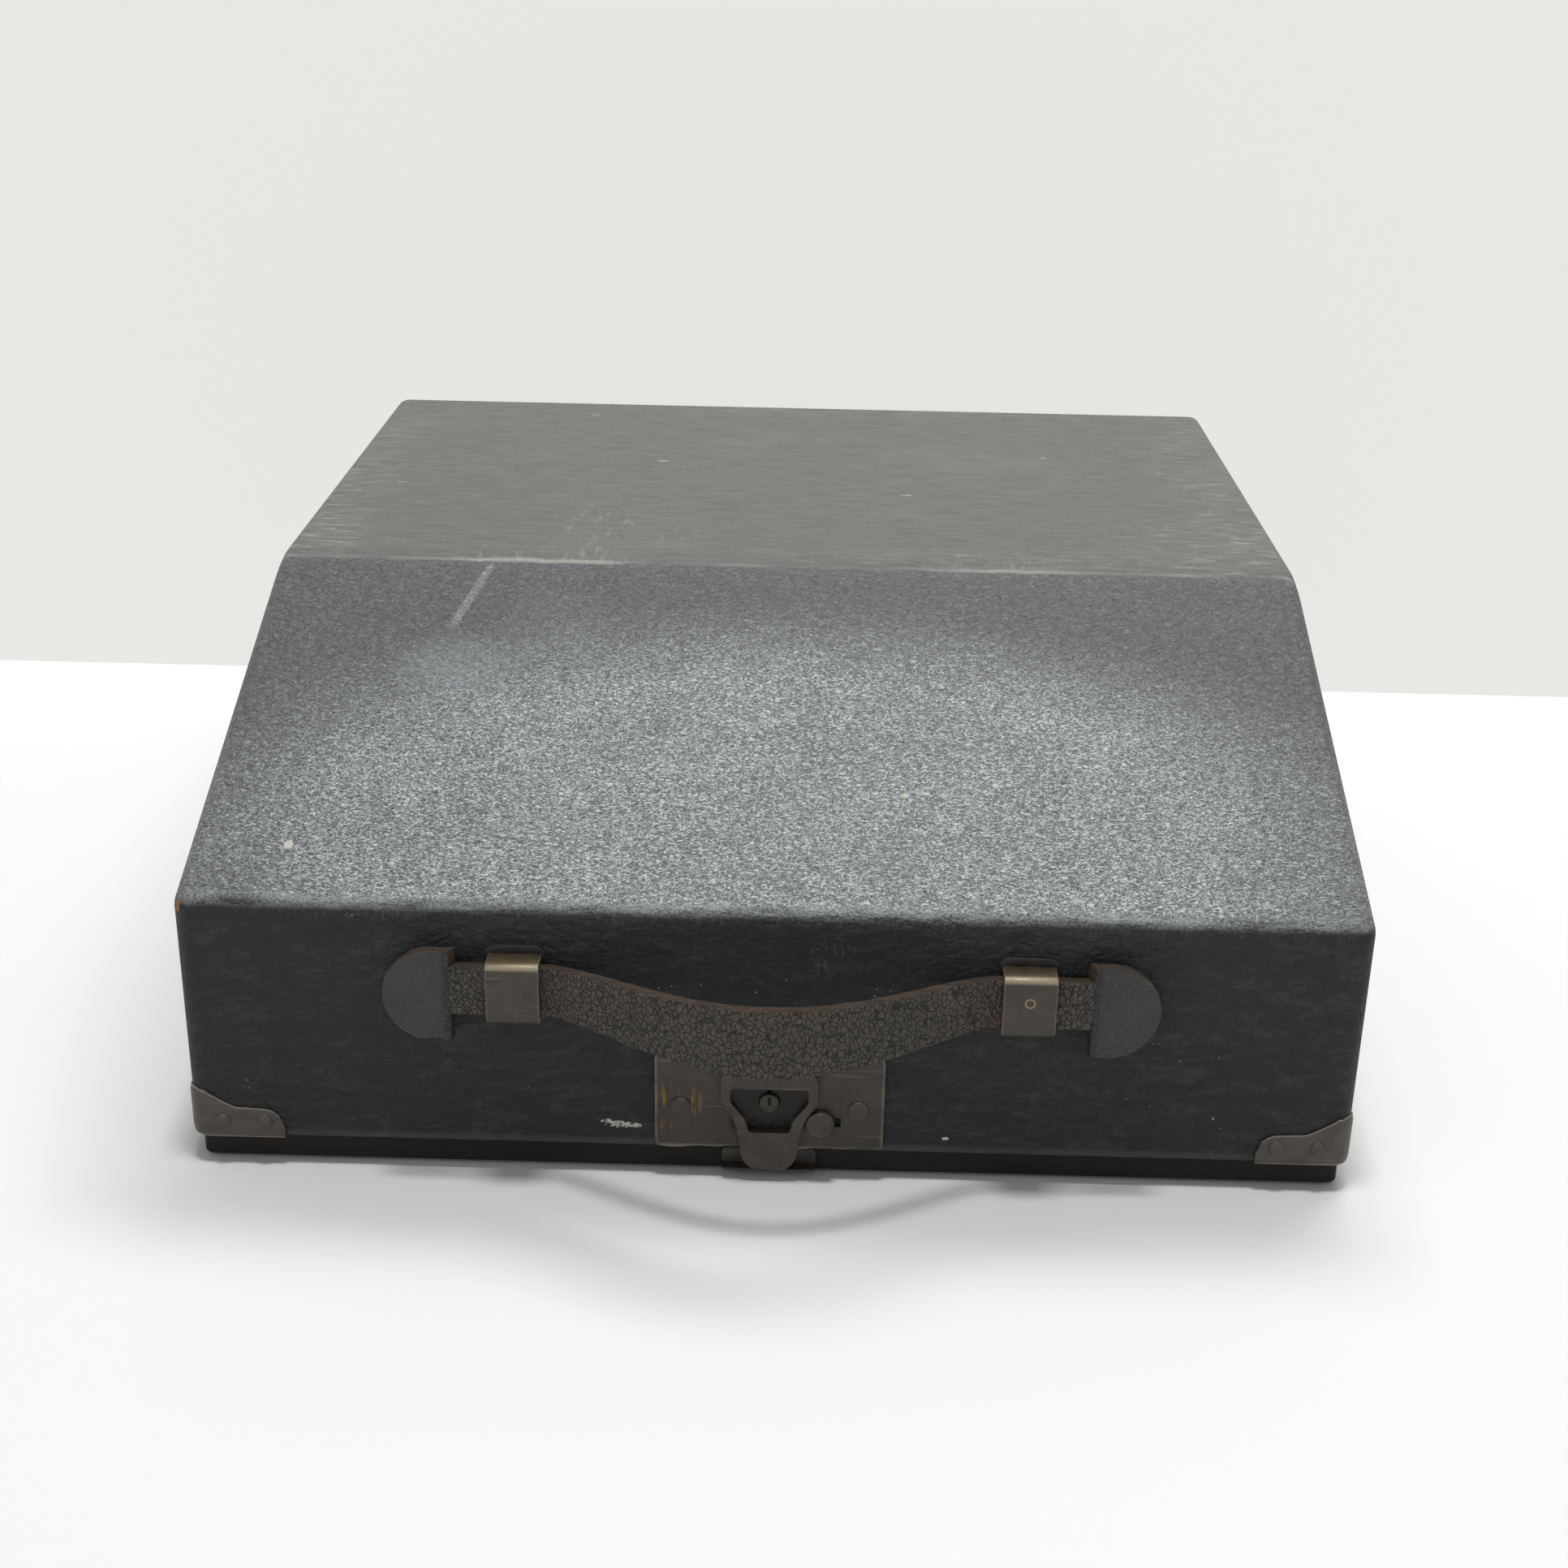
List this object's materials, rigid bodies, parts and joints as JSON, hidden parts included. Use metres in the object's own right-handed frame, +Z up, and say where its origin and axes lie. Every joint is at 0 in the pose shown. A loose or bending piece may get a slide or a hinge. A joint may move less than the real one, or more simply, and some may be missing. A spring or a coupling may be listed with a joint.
{
  "type": "portable typewriter in its carrying case",
  "caption": "Portable typewriter shut in its sloping leatherette carrying case, with a strap handle, a hasp lock and a rear hinge",
  "frame": {"origin": "middle of the underside of the case's box, on the table", "axes": "+Z up, -Y towards the lock and handle, +X to the right as seen from the front"},
  "size_m": [0.3232, 0.386, 0.1335],
  "materials": {
    "leatherette": "pebble-grained, scuffed along the edges",
    "handle_leather": "crackled, worn at the rims",
    "lock_steel": "tarnished, light rust",
    "plate_steel": "black enamel worn to steel",
    "hinge_steel": "tarnished",
    "board_wood": "stained dark, dusty",
    "rim_wood": "bare, aged",
    "foot_rubber": "matt",
    "machine_enamel": "glossy black enamel",
    "lever_steel": "oiled steel",
    "nickel": "nickel plate, dull in places",
    "key_black": "polished",
    "platen_rubber": "hard, smooth",
    "ribbon_cloth": "inked cotton",
    "felt": "pressed felt",
    "brass": "aged brass"
  },
  "bodies": {
    "base": {"strike_plate": "lock_steel", "base_hinge_leaves": "hinge_steel", "hinge_pins": "hinge_steel", "base_board": "board_wood", "base_rim": "rim_wood", "case_feet": "foot_rubber", "machine_brackets": "hinge_steel", "machine_feet": "foot_rubber", "machine_frame": "machine_enamel", "lever_axle": "lever_steel", "key_levers": "lever_steel", "key_tops": "key_black", "typebars": "lever_steel", "segment": "machine_enamel", "typebar_rest": "felt", "top_cover": "machine_enamel", "carriage_rails": "lever_steel", "margin_rail": "lever_steel", "margin_stops": "lever_steel", "spool_cups": "machine_enamel", "ribbon": "ribbon_cloth"},
    "hood": {"hood_shell": "leatherette", "corner_plate_front_left": "plate_steel", "corner_plate_front_right": "plate_steel", "corner_plate_rear_left": "plate_steel", "corner_plate_rear_right": "plate_steel", "corner_rivets": "plate_steel", "lock_plate": "lock_steel", "lock_rivets": "lock_steel", "loop_back_plates": "lock_steel", "handle_loop_left": "lock_steel", "handle_loop_right": "lock_steel", "hood_hinge_leaves": "hinge_steel"},
    "hasp": {"hasp": "lock_steel"},
    "lock_button": {"lock_button": "lock_steel"},
    "lock_barrel": {"lock_barrel": "lock_steel"},
    "grip": {"handle_grip": "handle_leather"},
    "strap_left": {"strap_end_left": "handle_leather"},
    "strap_right": {"strap_end_right": "handle_leather"},
    "carriage": {"carriage_frame": "machine_enamel", "paper_table": "machine_enamel"},
    "platen": {"platen": "platen_rubber", "platen_knobs": "key_black", "line_space_ratchet": "lever_steel"},
    "feed_roller": {"feed_roller": "foot_rubber"},
    "return_lever": {"return_lever": "nickel"},
    "paper_bail": {"paper_bail": "nickel"},
    "paper_release": {"paper_release_lever": "nickel"},
    "escape_wheel": {"escape_wheel": "brass"},
    "mainspring_drum": {"mainspring_drum": "lever_steel"},
    "space_bar": {"space_bar": "key_black"},
    "dogs": {"escapement_dogs": "lever_steel"},
    "shift": {"shift_keys": "key_black"},
    "back_space": {"back_space_key": "key_black"},
    "letter_key": {"letter_lever": "lever_steel", "letter_top": "key_black"},
    "typebar": {"typebar": "lever_steel"},
    "vibrator": {"ribbon_vibrator": "lever_steel"},
    "spool_left": {"ribbon_spool_left": "nickel"},
    "spool_right": {"ribbon_spool_right": "nickel"}
  },
  "joints": [
    {"name": "hood_hinge", "type": "hinge", "parent": "base", "child": "hood", "pos_m": [0, 0.19045, 0.0085], "axis": [-1, 0, 0], "range_deg": [0, 95]},
    {"name": "hasp_swing", "type": "hinge", "parent": "hood", "child": "hasp", "pos_m": [0, -0.16585, 0.036], "axis": [-1, 0, 0], "range_deg": [0, 85]},
    {"name": "button_slide", "type": "slide", "parent": "hood", "child": "lock_button", "axis": [1, 0, 0], "range_m": [0, 0.004], "stiffness_N_per_m": 150},
    {"name": "key_turn", "type": "hinge", "parent": "hood", "child": "lock_barrel", "pos_m": [0, -0.16355, 0.0246], "axis": [0, -1, 0], "range_deg": [0, 90]},
    {"name": "handle_pull", "type": "slide", "parent": "hood", "child": "grip", "axis": [0, -1, 0], "range_m": [0, 0.017]},
    {"name": "strap_left_slide", "type": "slide", "parent": "grip", "child": "strap_left", "axis": [0.4258, 0.9048, 0], "range_m": [0, 0.01879]},
    {"name": "strap_right_slide", "type": "slide", "parent": "grip", "child": "strap_right", "axis": [-0.4258, 0.9048, 0], "range_m": [0, 0.01879]},
    {"name": "carriage_slide", "type": "slide", "parent": "base", "child": "carriage", "axis": [1, 0, 0], "range_m": [-0.017, 0.017]},
    {"name": "platen_turn", "type": "hinge", "parent": "carriage", "child": "platen", "pos_m": [0, 0.06815, 0.101], "axis": [1, 0, 0], "continuous": true},
    {"name": "feed_roller_turn", "type": "hinge", "parent": "carriage", "child": "feed_roller", "pos_m": [0, 0.06015, 0.08126], "axis": [1, 0, 0], "continuous": true},
    {"name": "return_lever_swing", "type": "hinge", "parent": "carriage", "child": "return_lever", "pos_m": [-0.1255, 0.04715, 0.103], "axis": [0, 0, 1], "range_deg": [0, 30], "stiffness_Nm_per_rad": 0.05},
    {"name": "bail_lift", "type": "hinge", "parent": "carriage", "child": "paper_bail", "pos_m": [0, 0.09115, 0.111], "axis": [-1, 0, 0], "range_deg": [0, 8]},
    {"name": "paper_release_tilt", "type": "hinge", "parent": "carriage", "child": "paper_release", "pos_m": [0.122, 0.09815, 0.097], "axis": [-1, 0, 0], "range_deg": [0, 20]},
    {"name": "escape_wheel_turn", "type": "hinge", "parent": "base", "child": "escape_wheel", "pos_m": [0, 0.08215, 0.0625], "axis": [0, 1, 0], "range_deg": [-121.75, 121.75]},
    {"name": "drum_turn", "type": "hinge", "parent": "base", "child": "mainspring_drum", "pos_m": [-0.092, 0.13645, 0.049], "axis": [0, 1, 0], "range_deg": [-44.27, 44.27]},
    {"name": "space_bar_press", "type": "hinge", "parent": "base", "child": "space_bar", "pos_m": [0, -0.03096, 0.0315], "axis": [1, 0, 0], "range_deg": [0, 2.6], "stiffness_Nm_per_rad": 1, "springref_deg": -5.73},
    {"name": "dogs_rock", "type": "hinge", "parent": "base", "child": "dogs", "pos_m": [0, 0.08515, 0.0445], "axis": [0, 1, 0], "range_deg": [0, 4]},
    {"name": "shift_press", "type": "hinge", "parent": "base", "child": "shift", "pos_m": [0, 0.06115, 0.0275], "axis": [1, 0, 0], "range_deg": [0, 3], "stiffness_Nm_per_rad": 2, "springref_deg": -5.73},
    {"name": "back_space_press", "type": "hinge", "parent": "base", "child": "back_space", "pos_m": [0.1085, 0.06115, 0.0275], "axis": [1, 0, 0], "range_deg": [0, 3.6], "stiffness_Nm_per_rad": 1, "springref_deg": -5.73},
    {"name": "letter_press", "type": "hinge", "parent": "base", "child": "letter_key", "pos_m": [-0.0071, 0.06115, 0.0275], "axis": [1, 0, 0], "range_deg": [0, 3.6], "stiffness_Nm_per_rad": 1, "springref_deg": -5.73},
    {"name": "typebar_swing", "type": "hinge", "parent": "base", "child": "typebar", "pos_m": [0.00136, 0.012, 0.06002], "axis": [-0.9994, 0, -0.0332], "range_deg": [0, 126]},
    {"name": "vibrator_lift", "type": "slide", "parent": "base", "child": "vibrator", "axis": [0, 0, 1], "range_m": [0, 0.008]},
    {"name": "spool_left_turn", "type": "hinge", "parent": "base", "child": "spool_left", "pos_m": [-0.101, -0.01977, 0.0765], "axis": [0, 0, 1], "continuous": true},
    {"name": "spool_right_turn", "type": "hinge", "parent": "base", "child": "spool_right", "pos_m": [0.101, -0.01977, 0.0765], "axis": [0, 0, 1], "continuous": true}
  ],
  "couplings": [
    {"joint": "strap_left_slide", "follows": "handle_pull", "ratio": 1.1052},
    {"joint": "strap_right_slide", "follows": "handle_pull", "ratio": 1.1052},
    {"joint": "feed_roller_turn", "follows": "platen_turn", "ratio": -3.2},
    {"joint": "escape_wheel_turn", "follows": "carriage_slide", "rad_per_m": 125},
    {"joint": "drum_turn", "follows": "carriage_slide", "rad_per_m": 45.455},
    {"joint": "dogs_rock", "follows": "space_bar_press", "ratio": 1.5385},
    {"joint": "typebar_swing", "follows": "letter_press", "ratio": 35},
    {"joint": "vibrator_lift", "follows": "letter_press", "m_per_rad": 0.12732},
    {"joint": "spool_right_turn", "follows": "spool_left_turn", "ratio": 1}
  ]
}
